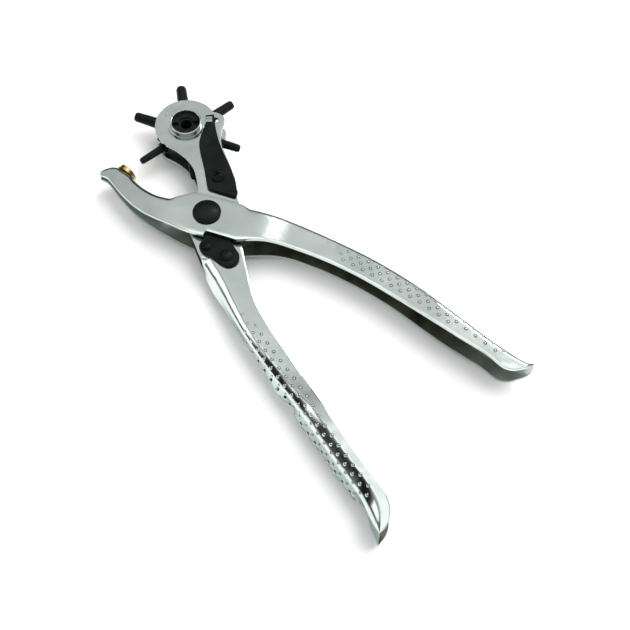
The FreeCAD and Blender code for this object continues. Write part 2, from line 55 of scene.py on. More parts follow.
# Sheet and section sizes of the two pressed channels, in millimetres
ARM_SHEET = 1.8
ARM_HALF = 8.5
ARM_WAIST_HALF = 6.4
ARM_TOE_HALF = 5.2
ARM_TIP_HALF = 2.0
ARM_BEND = 2.5
HANDLE_SHEET = 1.6
HANDLE_HALF = 5.1
HANDLE_END_HALF = 8.3
BURR = 0.28


# ---- camera, light and floor ----

FOCUS_FROM_PIVOT = Vector((52.6, -52.7, 0.0)) * MM
VIEW_ELEVATION = math.radians(61.2)
VIEW_DISTANCE = 0.592
LENS = 71.43
ROLL = math.radians(-0.2)

# (name, place from the focus, size, watts, mirrored by the plating)
LIGHTS = (
    ("key", (0.62, 0.40, 0.95), (1.3, 1.3), 19.0, False),
    ("fill", (0.0, -0.2, 1.3), (2.0, 2.0), 9.0, False),
    ("glint", (0.35, 0.60, 0.75), (0.28, 0.28), 1.6, True),
    ("left_box", (-0.92, 0.075, 0.40), (0.30, 0.46), 0.7, True),
)

# (height, level) of the surroundings: 0 is straight down, 0.5 the horizon and 1 straight up
OVERHEAD = ((0.49, 0.0), (0.52, 0.01), (0.76, 0.03), (0.83, 0.45), (0.894, 0.60), (0.94, 0.74),
            (0.957, 0.82), (0.967, 1.4), (1.0, 1.6))
BELOW = ((0.0, 0.9), (0.494, 0.9), (0.503, 0.0))
FRONT_WALL = ((0.49, 0.0), (0.503, 0.5), (0.70, 0.42), (0.93, 0.38), (0.97, 0.0))

FLOOR_REACH = 0.95
FLOOR_DROP = 0.0002


def aim(obj, target, roll=0.0):
    obj.rotation_euler = (target - obj.location).to_track_quat("-Z", "Y").to_euler()
    obj.rotation_euler.rotate_axis("Z", roll)


def add_camera():
    data = bpy.data.cameras.new("camera")
    data.lens = LENS
    data.sensor_width = 36.0
    camera = bpy.data.objects.new("camera", data)
    bpy.context.scene.collection.objects.link(camera)
    target = PIVOT + FOCUS_FROM_PIVOT
    away = Vector((0.0, -math.cos(VIEW_ELEVATION), math.sin(VIEW_ELEVATION)))
    camera.location = target + away * VIEW_DISTANCE
    aim(camera, target, ROLL)
    bpy.context.scene.camera = camera
    bpy.context.scene.view_settings.view_transform = "Standard"
    return target


def area_light(name, place, target, size, power, mirrored):
    """A soft light; the plating mirrors it only when asked to."""
    data = bpy.data.lights.new(name, "AREA")
    data.shape = "RECTANGLE"
    data.size = size[0]
    data.size_y = size[1]
    data.energy = power
    light = bpy.data.objects.new(name, data)
    bpy.context.scene.collection.objects.link(light)
    light.location = target + Vector(place)
    light.visible_glossy = mirrored
    aim(light, target)


def add_world():
    """Bright overhead, fading towards the front, where a soft grey wall stands; dark low down at
    the sides and behind, and bright below."""
    world = bpy.data.worlds.new("studio")
    bpy.context.scene.world = world
    world.use_nodes = True
    tree = world.node_tree
    coords = tree.nodes.new("ShaderNodeTexCoord")
    split = tree.nodes.new("ShaderNodeSeparateXYZ")
    tree.links.new(coords.outputs["Generated"], split.inputs[0])

    def span(axis, low, high, first, last):
        node = tree.nodes.new("ShaderNodeMapRange")
        for name, value in (("From Min", low), ("From Max", high), ("To Min", first), ("To Max", last)):
            node.inputs[name].default_value = value
        tree.links.new(split.outputs[axis], node.inputs["Value"])
        return node.outputs["Result"]

    height = span("Z", -1.0, 1.0, 0.0, 1.0)

    def ramp(stops):
        node = tree.nodes.new("ShaderNodeValToRGB")
        while len(node.color_ramp.elements) < len(stops):
            node.color_ramp.elements.new(0.5)
        for element, (at, level) in zip(node.color_ramp.elements, stops):
            element.position = at
            element.color = (level, level, level, 1.0)
        tree.links.new(height, node.inputs["Fac"])
        return node.outputs["Color"]

    def mix(kind, first, second):
        node = tree.nodes.new("ShaderNodeMix")
        node.data_type = "RGBA"
        node.blend_type = kind
        node.inputs["Factor"].default_value = 1.0
        tree.links.new(first, node.inputs["A"])
        tree.links.new(second, node.inputs["B"])
        return node.outputs["Result"]

    overhead = ramp(OVERHEAD)
    below = ramp(BELOW)
    front_wall = ramp(FRONT_WALL)
    sky = mix("MULTIPLY", overhead, span("Y", -0.08, 0.03, 0.03, 1.0))
    wall = mix("MULTIPLY", front_wall, span("Y", -0.25, -0.5, 0.0, 1.0))
    back = tree.nodes["Background"]
    tree.links.new(mix("ADD", mix("ADD", sky, wall), below), back.inputs["Color"])
    back.inputs["Strength"].default_value = 1.0


def add_floor():
    mesh = bpy.data.meshes.new("floor")
    corners = [(x * FLOOR_REACH, y * FLOOR_REACH, 0) for x, y in ((-1, -1), (1, -1), (1, 1), (-1, 1))]
    mesh.from_pydata(corners, [], [(0, 1, 2, 3)])
    floor = bpy.data.objects.new("floor", mesh)
    bpy.context.scene.collection.objects.link(floor)
    floor.location.z = -FLOOR_DROP
    material = bpy.data.materials.new("floor")
    material.use_nodes = True
    shader = material.node_tree.nodes["Principled BSDF"]
    shader.inputs["Base Color"].default_value = (0.93, 0.93, 0.93, 1.0)
    shader.inputs["Roughness"].default_value = 0.9
    shader.inputs["Specular IOR Level"].default_value = 0.1
    mesh.materials.append(material)


# ---- procedural materials ----

# Distances from the pivot, in millimetres, over which the painted shade inside the channels lightens
TOE_SHADE_FADE = (112, 150)
JAW_SHADE_FADE = (2, 32)


class Look:
    """A Principled material with helpers for the noise that colours and roughens it."""

    def __init__(self, name, colour, metallic, roughness):
        self.material = bpy.data.materials.new(name)
        self.material.use_nodes = True
        self.tree = self.material.node_tree
        self.shader = self.tree.nodes["Principled BSDF"]
        self.shader.inputs["Base Color"].default_value = (*colour, 1.0)
        self.shader.inputs["Metallic"].default_value = metallic
        self.shader.inputs["Roughness"].default_value = roughness
        self.coords = self.tree.nodes.new("ShaderNodeTexCoord").outputs["Object"]

    def node(self, kind, **settings):
        made = self.tree.nodes.new(kind)
        for key, value in settings.items():
            if hasattr(made, key):
                setattr(made, key, value)
            else:
                made.inputs[key.replace("_", " ")].default_value = value
        return made

    def link(self, out, into):
        self.tree.links.new(out, into)

    def noise(self, scale, detail=3.0, stretch=(1.0, 1.0, 1.0), turn=0.0):
        place = self.node("ShaderNodeMapping")
        place.inputs["Scale"].default_value = stretch
        place.inputs["Rotation"].default_value = (0.0, 0.0, turn)
        self.link(self.coords, place.inputs["Vector"])
        noise = self.node("ShaderNodeTexNoise", Scale=scale, Detail=detail)
        self.link(place.outputs["Vector"], noise.inputs["Vector"])
        return noise.outputs["Fac"]

    def ranged(self, value, low, high, start=0.3, stop=0.7):
        spread = self.node("ShaderNodeMapRange")
        spread.inputs["From Min"].default_value = start
        spread.inputs["From Max"].default_value = stop
        spread.inputs["To Min"].default_value = low
        spread.inputs["To Max"].default_value = high
        self.link(value, spread.inputs["Value"])
        return spread.outputs["Result"]

    def blend(self, value, first, second, start=0.3, stop=0.7):
        ramp = self.node("ShaderNodeValToRGB")
        ramp.color_ramp.elements[0].position = start
        ramp.color_ramp.elements[1].position = stop
        ramp.color_ramp.elements[0].color = (*first, 1.0)
        ramp.color_ramp.elements[1].color = (*second, 1.0)
        self.link(value, ramp.inputs["Fac"])
        return ramp.outputs["Color"]

    def bump(self, value, strength, distance, under=None):
        bump = self.node("ShaderNodeBump")
        bump.inputs["Strength"].default_value = strength
        bump.inputs["Distance"].default_value = distance
        self.link(value, bump.inputs["Height"])
        if under is not None:
            self.link(under, bump.inputs["Normal"])
        return bump.outputs["Normal"]

    def feed(self, socket, value):
        self.link(value, self.shader.inputs[socket])


def plated_steel():
    """Bright nickel plating: slow waves in the rolled sheet, finer ripple and a fine drawn grain."""
    look = Look("plated_steel", (0.62, 0.67, 0.65), 1.0, 0.16)
    look.shader.inputs["Specular Tint"].default_value = (0.62, 0.70, 0.67, 1.0)
    cloud = look.noise(45.0, 4.0)
    look.feed("Base Color", look.blend(cloud, (0.60, 0.685, 0.65), (0.72, 0.78, 0.755)))
    grain = look.noise(900.0, 3.0, (1.0, 0.12, 1.0), 0.6)
    look.feed("Roughness", look.ranged(cloud, 0.12, 0.2))
    rolled = look.bump(look.noise(38.0, 2.0), 0.5, 0.0012)
    rolled = look.bump(look.noise(130.0, 2.0), 0.14, 0.0006, rolled)
    look.feed("Normal", look.bump(grain, 0.05, 0.0001, rolled))
    return look.material


def plated_inside():
    """The inside of the channels: thinner, duller plating, its colour darkened with painted shade deep in the
    hollow and lightening towards the open toe and jaw ends.
    """
    look = Look("plated_inside", (0.10, 0.105, 0.085), 0.6, 0.42)
    cloud = look.noise(70.0, 5.0, (1.0, 1.0, 0.5))
    # Painted shade: the colour runs from near black deep inside the channel to light plating near its open
    # ends
    painted_shade_colour = look.blend(cloud, (0.05, 0.055, 0.035), (0.20, 0.21, 0.155))
    less_shaded_colour = look.blend(cloud, (0.36, 0.42, 0.39), (0.62, 0.68, 0.65))
    split = look.node("ShaderNodeSeparateXYZ")
    look.link(look.coords, split.inputs[0])
    toe = look.ranged(split.outputs["X"], 0.0, 0.8, PIVOT.x + TOE_SHADE_FADE[0] * MM, PIVOT.x + TOE_SHADE_FADE[1] * MM)
    jaw = look.ranged(split.outputs["X"], 1.0, 0.0, PIVOT.x - JAW_SHADE_FADE[1] * MM, PIVOT.x - JAW_SHADE_FADE[0] * MM)
    either = look.node("ShaderNodeMath", operation="MAXIMUM")
    look.link(toe, either.inputs[0])
    look.link(jaw, either.inputs[1])
    mix = look.node("ShaderNodeMix", data_type="RGBA")
    look.link(either.outputs[0], mix.inputs["Factor"])
    look.link(painted_shade_colour, mix.inputs["A"])
    look.link(less_shaded_colour, mix.inputs["B"])
    look.feed("Base Color", mix.outputs["Result"])
    look.feed("Roughness", look.ranged(cloud, 0.30, 0.50))
    look.feed("Normal", look.bump(look.noise(500.0, 3.0), 0.25, 0.0003))
    return look.material


def black_steel(name, colour, roughness, grain_scale):
    look = Look(name, colour, 0.0, roughness)
    cloud = look.noise(90.0, 4.0)
    light = tuple(c * 1.8 + 0.003 for c in colour)
    look.feed("Base Color", look.blend(cloud, colour, light))
    look.feed("Roughness", look.ranged(cloud, roughness - 0.06, roughness + 0.08))
    look.feed("Normal", look.bump(look.noise(grain_scale, 3.0), 0.08, 0.0002))
    look.shader.inputs["Specular IOR Level"].default_value = 0.12
    return look.material


def brass():
    look = Look("brass", (0.80, 0.65, 0.27), 1.0, 0.2)
    cloud = look.noise(160.0, 3.0)
    look.feed("Base Color", look.blend(cloud, (0.74, 0.58, 0.20), (0.86, 0.73, 0.36)))
    look.feed("Roughness", look.ranged(cloud, 0.16, 0.27))
    look.feed("Normal", look.bump(look.noise(1500.0, 2.0), 0.05, 0.0001))
    return look.material


def drawn_steel(name, colour, roughness):
    look = Look(name, colour, 1.0, roughness)
    cloud = look.noise(240.0, 3.0)
    dark = tuple(c * 0.75 for c in colour)
    look.feed("Base Color", look.blend(cloud, dark, colour))
    look.feed("Roughness", look.ranged(cloud, roughness - 0.05, roughness + 0.08))
    look.feed("Normal", look.bump(look.noise(1200.0, 2.0), 0.08, 0.0001))
    return look.material


# ---- curves in plan, measured from the main pivot in millimetres ----

SPAN_STEPS = 28
NORMAL_REACH = 0.25


def spline(points):
    """Points along a smooth curve through the given ones, free at both ends."""
    p = np.array(points, float)
    gaps = np.linalg.norm(np.diff(p, axis=0), axis=1)
    n = len(p)
    matrix = np.zeros((n, n))
    right = np.zeros((n, 2))
    for i in range(1, n - 1):
        matrix[i, i - 1] = gaps[i]
        matrix[i, i] = 2 * (gaps[i - 1] + gaps[i])
        matrix[i, i + 1] = gaps[i - 1]
        right[i] = 3 * (gaps[i] * (p[i] - p[i - 1]) / gaps[i - 1] + gaps[i - 1] * (p[i + 1] - p[i]) / gaps[i])
    for row, near, gap in ((0, 1, gaps[0]), (n - 1, n - 2, gaps[-1])):
        matrix[row, row] = 2.0
        matrix[row, near] = 1.0
        right[row] = 3 * (p[near] - p[row]) / gap * (1 if row == 0 else -1)
    slope = np.linalg.solve(matrix, right)
    out = [p[0]]
    for i in range(n - 1):
        for k in range(1, SPAN_STEPS + 1):
            u = k / SPAN_STEPS
            h00 = 2 * u ** 3 - 3 * u ** 2 + 1
            h10 = u ** 3 - 2 * u ** 2 + u
            h01 = -2 * u ** 3 + 3 * u ** 2
            h11 = u ** 3 - u ** 2
            out.append(h00 * p[i] + h10 * gaps[i] * slope[i] + h01 * p[i + 1] + h11 * gaps[i] * slope[i + 1])
    return np.array(out)


def joined(*curves):
    """One run of points from curves that meet end to end."""
    parts = [curves[0]] + [c[1:] for c in curves[1:]]
    return np.concatenate(parts)


class Track:
    """A curve in plan that can be read at a distance along it."""

    def __init__(self, points):
        self.points = np.array(points, float)
        self.s = np.concatenate([[0.0], np.cumsum(np.linalg.norm(np.diff(self.points, axis=0), axis=1))])

    def at(self, s):
        return np.stack([np.interp(s, self.s, self.points[:, i]) for i in (0, 1)], axis=-1)

    def nearest(self, place):
        return self.s[np.argmin(np.linalg.norm(self.points - np.array(place), axis=1))]

    def normal(self, s):
        """The left-hand normal of the curve."""
        ahead = self.at(np.minimum(s + NORMAL_REACH, self.s[-1]))
        way = ahead - self.at(np.maximum(s - NORMAL_REACH, 0.0))
        way /= np.linalg.norm(way, axis=-1, keepdims=True)
        return np.stack([-way[..., 1], way[..., 0]], axis=-1)


def s_curve(x, levels):
    """Half height along a direction: level stretches joined by level-ended curves."""
    x = np.asarray(x, float)
    out = np.full(x.shape, levels[0][1], float)
    for (d0, h0), (d1, h1) in zip(levels, levels[1:]):
        u = np.clip((x - d0) / (d1 - d0), 0, 1)
        out = np.where(x >= d0, h0 + (h1 - h0) * (3 * u ** 2 - 2 * u ** 3), out)
    return out


# ---- pressed channels ----

STATION_STEP = 1.2
STATION_GAP = 0.35
PLATE_COLUMNS = 10
BEND_COLUMNS = 7
WEB_COLUMNS = 8
BEND_SHARE = 0.55
DROP_SHARE = 0.92
SKIRT_SHARE = 0.3
EDGE_BEND = 0.3
RIM_SHARE = 0.1


class Skin:
    """Vertices and faces of one closed sheet-metal piece, gathered column by column."""

    def __init__(self):
        self.places = []
        self.faces = []
        self.tints = []

    def add(self, x, y, z):
        self.places.append((PIVOT.x + x * MM, PIVOT.y + y * MM, PIVOT.z + z * MM))
        return len(self.places) - 1

    def strip(self, first, second, flip=False, tint=0):
        """Quads between two columns of vertex numbers."""
        for a, b, c, d in zip(first, first[1:], second[1:], second):
            quad = [a, b, c, d]
            tidy = [v for i, v in enumerate(quad) if v != quad[i - 1]]
            if len(tidy) > 2:
                self.faces.append(tidy[::-1] if flip else tidy)
                self.tints.append(tint)

    def make(self, name, sharp=38.0):
        mesh = bpy.data.meshes.new(name)
        mesh.from_pydata(self.places, [], self.faces)
        mesh.polygons.foreach_set("material_index", self.tints)
        mesh.validate()
        mesh.polygons.foreach_set("use_smooth", [True] * len(mesh.polygons))
        mesh.set_sharp_from_angle(angle=math.radians(sharp))
        made = bpy.data.objects.new(name, mesh)
        bpy.context.scene.collection.objects.link(made)
        return made


class Channel:
    """A pressed U channel: its back follows one curve in plan and its open edge another.

    cut holds the two distances along the back between which the back is cut away, where
    the flange edge follows the same curve. half gives the half height at a place in plan.
    flatness is 1 for a round bend and 2 for a straight slope, and reach is how far down the
    bend goes for its size. The lower half can have its own height and bend, and skirt tells
    how far its back stands out beyond the upper one."""

    def __init__(self, back, edge, pairs, half, sheet, bend, side, cut=(0.0, 0.0), ease=5.0,
                 flatness=1.0, low_bend=None, skirt=None, low_half=None, reach=1.15):
        self.back = Track(back)
        self.edge = Track(edge)
        self.half = half
        self.sheet = sheet
        self.bend = bend
        self.side = side
        self.cut = cut
        self.ease = ease
        self.flatness = flatness
        self.low_bend = low_bend
        self.reach = reach
        self.low_half = low_half or half
        self.skirt = skirt
        known = sorted((self.back.nearest(b), self.edge.nearest(e)) for b, e in pairs)
        self.known = np.maximum.accumulate(np.array(known), axis=0)

    def closed_part(self, s):
        """1 where the channel has its back, falling to 0 where the back is cut away."""
        inside = np.minimum(s - self.cut[0], self.cut[1] - s)
        u = np.clip(1.0 - inside / self.ease, 0.0, 1.0)
        return 3 * u ** 2 - 2 * u ** 3

    def layout(self, s, upper=True):
        back = self.back.at(s)
        edge = self.edge.at(np.interp(s, self.known[:, 0], self.known[:, 1]))
        inward = self.back.normal(s) * self.side
        width = np.linalg.norm(edge - back, axis=-1)
        if self.skirt and not upper:
            back = back - inward * min(self.skirt(s), SKIRT_SHARE * width)
        return back, edge, inward, width

    def height(self, place, upper):
        return float(self.half(*place) if upper else self.low_half(*place))

    def bend_size(self, s, upper, width):
        size = self.bend(s) if upper or self.low_bend is None else self.low_bend
        return min(size, BEND_SHARE * width)

    def drop(self, bend, height):
        """How far down the bend reaches."""
        return min(self.reach * bend, DROP_SHARE * height)

    def bow(self, share):
        """How far across and down the bend is, from 0 to 1, at a share of its quarter turn."""
        angle = math.pi / 2 * share
        return math.sin(angle) ** self.flatness, 1 - math.cos(angle) ** self.flatness

    def outer(self, s, upper=True):
        """Columns of the outer surface at one station: plate strip, then the bend."""
        back, edge, inward, width = self.layout(s, upper)
        full = self.closed_part(s)
        bend = min(self.bend_size(s, upper, width) * full + EDGE_BEND * (1 - full), BEND_SHARE * width)
        start = back + inward * bend
        rim = min(BURR, RIM_SHARE * width)
        way = (start - edge) / max(np.linalg.norm(start - edge), 1e-6)
        columns = []
        top = self.height(edge, upper)
        columns.append((edge[0], edge[1], top - rim * 1.2))
        columns.append((edge[0] + way[0] * rim * 0.3, edge[1] + way[1] * rim * 0.3, top - rim * 0.3))
        first = edge + way * rim
        for k in range(PLATE_COLUMNS + 1):
            at = first + (start - first) * k / PLATE_COLUMNS
            columns.append((at[0], at[1], self.height(at, upper)))
        top = self.height(start, upper)
        drop = self.drop(bend, top)
        for k in range(1, BEND_COLUMNS + 1):
            over, down = self.bow(k / BEND_COLUMNS)
            at = start - inward * bend * over
            columns.append((at[0], at[1], top - drop * down))
        return columns

    def inner(self, s, upper=True):
        """The same columns on the inner surface; the sheet thins out where the two curves meet."""
        back, edge, inward, width = self.layout(s, upper)
        full = self.closed_part(s)
        thin = min(1.0, width / (1.6 * self.sheet))
        sheet = self.sheet * thin
        bend = (max(self.bend_size(s, upper, width) - self.sheet, 0.4) * full + 0.05) * thin
        wall = sheet * full
        start = back + inward * min(wall + bend, 0.8 * width)
        rim = min(BURR * 0.7, RIM_SHARE * width)
        way = (start - edge) / max(np.linalg.norm(start - edge), 1e-6)
        columns = []
        top = self.height(edge, upper) - sheet
        columns.append((edge[0], edge[1], top + rim))
        first = edge + way * rim
        columns.append((first[0], first[1], top))
        for k in range(PLATE_COLUMNS + 1):
            at = first + (start - first) * k / PLATE_COLUMNS
            columns.append((at[0], at[1], self.height(at, upper) - sheet))
        top = self.height(start, upper) - sheet
        drop = self.drop(bend, top)
        for k in range(1, BEND_COLUMNS + 1):
            over, down = self.bow(k / BEND_COLUMNS)
            at = start - inward * bend * over
            columns.append((at[0], at[1], top - drop * down))
        return columns

    def stations(self):
        """The distances along the back at which the section is built."""
        length = self.back.s[-1]
        fixed = set(self.known[:, 0]) | set(self.cut) | {length}
        spread = sorted(s for s in set(np.arange(0.0, length, STATION_STEP)) | fixed if 0.0 <= s <= length)
        keep = [spread[0]]
        for s in spread[1:]:
            if s - keep[-1] > STATION_GAP or s in fixed:
                keep.append(s)
        return keep

    def build(self, name):
        skin = Skin()
        keep = self.stations()
        rows = []
        for s in keep:
            row = {}
            for key, section in (("outer", self.outer), ("inner", self.inner)):
                columns = section(s)
                below = [(x, y, -z) for x, y, z in section(s, False)]
                row[key + "+"] = [skin.add(*c) for c in columns]
                row[key + "-"] = [skin.add(*c) for c in below]
                first, last = np.array(columns[-1]), np.array(below[-1])
                has_web = not (self.cut[0] < s < self.cut[1])
                between = [first + (last - first) * k / WEB_COLUMNS for k in range(1, WEB_COLUMNS)]
                middle = [skin.add(*place) for place in between] if has_web else None
                row[key] = [row[key + "+"][-1]] + middle + [row[key + "-"][-1]] if has_web else None
            rows.append(row)
        for a, b in zip(rows, rows[1:]):
            self.join(skin, a, b)
        for row, first in ((rows[0], True), (rows[-1], False)):
            if row["outer"]:
                self.cap(skin, row, first)
            else:
                self.cap_plates(skin, row, first)
        for s, row in zip(keep, rows):
            if s in self.cut and self.cut[1] > self.cut[0]:
                skin.strip(row["outer"], row["inner"], flip=(s == self.cut[0]) ^ (self.side > 0))
        return skin.make(name)

    def join(self, skin, a, b):
        """The faces between two neighbouring stations."""
        flip = self.side < 0
        for sign, turn in (("+", False), ("-", True)):
            skin.strip(a["outer" + sign], b["outer" + sign], flip=turn ^ flip)
            skin.strip(a["inner" + sign], b["inner" + sign], flip=(not turn) ^ flip, tint=1)
            skin.strip([a["outer" + sign][0], a["inner" + sign][0]],
                       [b["outer" + sign][0], b["inner" + sign][0]], flip=(not turn) ^ flip)
        if a["outer"] and b["outer"]:
            skin.strip(a["outer"], b["outer"], flip=flip)
            skin.strip(a["inner"], b["inner"], flip=not flip, tint=1)
        else:
            for sign, turn in (("+", False), ("-", True)):
                skin.strip([a["outer" + sign][-1], a["inner" + sign][-1]],
                           [b["outer" + sign][-1], b["inner" + sign][-1]], flip=turn ^ flip)

    def cap(self, skin, row, first):
        """Closes an end that has its back."""
        flip = first ^ (self.side < 0)
        loop = row["outer+"] + row["outer"][1:-1] + row["outer-"][::-1]
        back = row["inner+"] + row["inner"][1:-1] + row["inner-"][::-1]
        skin.strip(loop, back, flip=not flip)

    def cap_plates(self, skin, row, first):
        """Closes an end of two separate flanges."""
        for sign, turn in (("+", False), ("-", True)):
            skin.strip(row["outer" + sign], row["inner" + sign], flip=(not turn) ^ first ^ (self.side < 0))


# ---- anvil arm ----

ANVIL_ANGLE = 49.0
ANVIL_NORMAL = np.array([math.cos(math.radians(ANVIL_ANGLE)), math.sin(math.radians(ANVIL_ANGLE))])
ANVIL_ALONG = np.array([ANVIL_NORMAL[1], -ANVIL_NORMAL[0]])
ANVIL_SEAT = np.array([-42.75, 28.05])
FLAT_START = ANVIL_SEAT - 4.2 * ANVIL_ALONG
FLAT_END = ANVIL_SEAT + 4.9 * ANVIL_ALONG
JAW_TIP = (-55.0, 26.4)
SLOT_JAW = (-19.0, 9.6)
SLOT_HANDLE = (21.6, 2.9)
ARM_END = (152.98, -82.4)
NOTCH = ((14.7, -15.8), (0.0, -10.6), (-1.3, -12.9))
ARM_LEVELS = ((-70, ARM_HALF), (22, ARM_HALF), (44, ARM_WAIST_HALF), (84, ARM_WAIST_HALF),
              (116, ARM_HALF), (134, ARM_HALF), (147.5, ARM_TOE_HALF), (156, ARM_TIP_HALF))
ARM_TOP_LEVELS = ARM_LEVELS[:6] + ((149.0, 7.6), (156, 5.6))
JAW_DIRECTION = math.radians(23.5)
JAW_LEAN = math.radians(14.0)
JAW_KNEE = -16.6
JAW_BEND_R = 60.0


def arm_half(x, y, levels=ARM_LEVELS):
    """Half height of the arm: it rises and falls along the handle, and the jaw leans in past its knee."""
    along = x * math.cos(JAW_DIRECTION) + y * math.sin(JAW_DIRECTION)
    reach = JAW_BEND_R * math.tan(JAW_LEAN / 2)
    start = JAW_KNEE + reach
    stop = start - JAW_BEND_R * math.sin(JAW_LEAN)
    fall = start - max(along, stop)
    drop = 0.0
    if along < start:
        drop = JAW_BEND_R - math.sqrt(JAW_BEND_R ** 2 - fall ** 2)
        drop += max(stop - along, 0.0) * math.tan(JAW_LEAN)
    return float(s_curve(x, levels)) - drop


def arm_top_half(x, y):
    """The upper flange stays nearly level to the end of the handle; the lower one rises to meet it."""
    return arm_half(x, y, ARM_TOP_LEVELS)


def make_arm():
    nose = spline([JAW_TIP, (-55.4, 28.4), (-54.2, 30.2), (-51.5, 31.3), (-48.3, 31.5), FLAT_START])
    jaw = spline([FLAT_END, (-37.3, 22.2), (-34.0, 18.6), (-28.6, 14.1), (-23.8, 11.3), SLOT_JAW])
    crown = spline([SLOT_JAW, (-14.6, 9.9), (-7.7, 11.6), (1.2, 10.0), (11.1, 6.9), SLOT_HANDLE])
    back = spline([SLOT_HANDLE, (28.4, 1.2), (35.7, -0.9), (55.2, -9.9), (93.3, -33.3), (115.9, -53.3),
                   (126.0, -62.5), (136.0, -71.3), (144.3, -77.6), (149.9, -81.1), ARM_END])
    web = joined(nose, np.array([FLAT_START, FLAT_END]), jaw, crown, back)
    jaw_edge = spline([JAW_TIP, (-52.9, 25.6), (-50.9, 24.0), (-46.9, 18.6), (-40.5, 10.6), (-32.3, 3.0),
                       (-17.6, -6.0), (-7.7, -11.1), NOTCH[2]])
    handle_edge = spline([NOTCH[0], (31.1, -15.9), (45.5, -20.4), (69.3, -32.3), (92.5, -48.2),
                          (110.6, -62.5), (124.6, -72.9), (133.5, -79.9), (138.4, -84.5), (142.5, -85.7),
                          (147.3, -85.0), (151.3, -83.6), ARM_END])
    edge = joined(jaw_edge, np.array([NOTCH[2], NOTCH[1]]), np.array([NOTCH[1], NOTCH[0]]), handle_edge)
    pairs = [(JAW_TIP, JAW_TIP), ((-54.2, 30.2), (-54.0, 26.2)), ((-51.5, 31.3), (-52.9, 25.6)),
             (FLAT_START, (-50.4, 23.4)), (FLAT_END, (-45.3, 17.0)),
             ((-28.6, 14.1), (-32.7, 2.9)), (SLOT_JAW, (-20.0, -4.6)), ((-7.7, 11.6), (-7.7, -11.1)),
             ((-1.0, 10.6), NOTCH[2]), ((0.6, 10.2), NOTCH[1]), ((11.1, 6.9), NOTCH[0]),
             (SLOT_HANDLE, (20.4, -15.4)), ((35.7, -0.9), (30.6, -15.8)), ((55.2, -9.9), (49.4, -21.9)),
             ((93.3, -33.3), (84.8, -42.6)), ((115.9, -53.3), (107.8, -60.2)),
             ((126.0, -62.5), (119.6, -69.2)), ((136.0, -71.3), (130.4, -77.4)),
             ((144.3, -77.6), (139.2, -84.9)), ((149.9, -81.1), (147.3, -85.0)), (ARM_END, ARM_END)]
    track = Track(web)
    cut = (track.nearest(SLOT_JAW), track.nearest(SLOT_HANDLE))
    channel = Channel(web, edge, pairs, arm_top_half, ARM_SHEET, lambda s: ARM_BEND, -1.0, cut,
                      low_half=arm_half)
    made = channel.build("anvil_arm_pressing")
    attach(made, "anvil_frame")
    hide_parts("anvil_arm")
    return made, channel


# ---- lower handle ----

HANDLE_LEVELS = ((-60, HANDLE_HALF), (84, HANDLE_HALF), (112, HANDLE_END_HALF), (200, HANDLE_END_HALF))
HANDLE_TIP = (79.8, -163.2)
WEB_TOP = (-1.4, -26.0)


def handle_half(x, y):
    return float(s_curve(-y, HANDLE_LEVELS))


def make_handle():
    crown = joined(spline([(9.6, 2.8), (2.0, 9.8), (-9.9, -1.4)]),
                   np.array([(-9.9, -1.4), (-8.1, -9.7)]), np.array([(-8.1, -9.7), WEB_TOP]))
    back = spline([WEB_TOP, (1.2, -30.5), (5.2, -38.0), (10.0, -47.6), (16.6, -60.1), (28.0, -78.6),
                   (42.2, -99.4), (57.0, -122.2), (66.0, -136.0), (73.0, -147.4), (75.6, -154.0),
                   HANDLE_TIP])
    web = joined(crown, back)
    edge = joined(np.array([(9.6, 2.8), (16.9, -14.3)]),
                  spline([(16.9, -14.3), (19.6, -27.9), (24.3, -47.4), (36.4, -69.9), (54.7, -100.3),
                          (76.4, -135.0), (82.8, -145.2), (84.7, -152.0), (83.0, -159.4), HANDLE_TIP]))
    pairs = [((9.6, 2.8), (9.6, 2.8)), ((-9.9, -1.4), (13.0, -5.2)), ((-8.1, -9.7), (16.0, -12.2)),
             (WEB_TOP, (18.6, -23.0)), ((5.2, -38.0), (20.9, -34.6)), ((16.6, -60.1), (26.8, -53.4)),
             ((28.0, -78.6), (38.8, -73.6)), ((42.2, -99.4), (52.0, -95.8)), ((57.0, -122.2), (66.6, -119.2)),
             ((66.0, -136.0), (75.4, -133.4)), ((73.0, -147.4), (83.0, -145.6)),
             ((75.6, -154.0), (84.4, -154.0)), (HANDLE_TIP, HANDLE_TIP)]
    track = Track(web)
    cut = (-1.0, track.nearest(WEB_TOP))
    bends = ((WEB_TOP, 4.8), ((5.2, -38.0), 4.8), ((10.0, -47.6), 4.2), ((16.6, -60.1), 3.4),
             ((28.0, -78.6), 3.0), ((35.0, -89.0), 3.6), ((42.2, -99.4), 4.8), ((47.0, -107.0), 6.0),
             ((57.0, -122.2), 7.6), ((66.0, -136.0), 7.8), ((73.0, -147.4), 7.2), (HANDLE_TIP, 5.2))
    skirts = ((WEB_TOP, 0.0), ((1.2, -30.5), 1.5), ((5.2, -38.0), 1.9), ((10.0, -47.6), 1.0),
              ((16.6, -60.1), 0.2), ((28.0, -78.6), 0.8), ((36.4, -91.0), 1.8),
              ((38.4, -94.0), 1.2), ((42.2, -99.4), -0.8), ((44.6, -103.0), 1.4), ((57.0, -122.2), 1.0),
              ((66.0, -136.0), 1.2), ((69.6, -141.8), 1.0), ((73.0, -147.4), -1.8), ((75.6, -154.0), -0.4),
              (HANDLE_TIP, 0.0))

    def sized(table):
        places = [track.nearest(at) for at, size in table]
        sizes = [size for at, size in table]
        return lambda s: float(np.interp(s, places, sizes))

    channel = Channel(web, edge, pairs, handle_half, HANDLE_SHEET, sized(bends), 1.0, cut, 1.6, flatness=1.5,
                      low_bend=2.4, skirt=sized(skirts), reach=0.95)
    made = channel.build("lower_handle_pressing")
    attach(made, "punch_arm")
    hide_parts("lower_handle")
    return made, channel


# ---- grip bumps and the turning mark ----

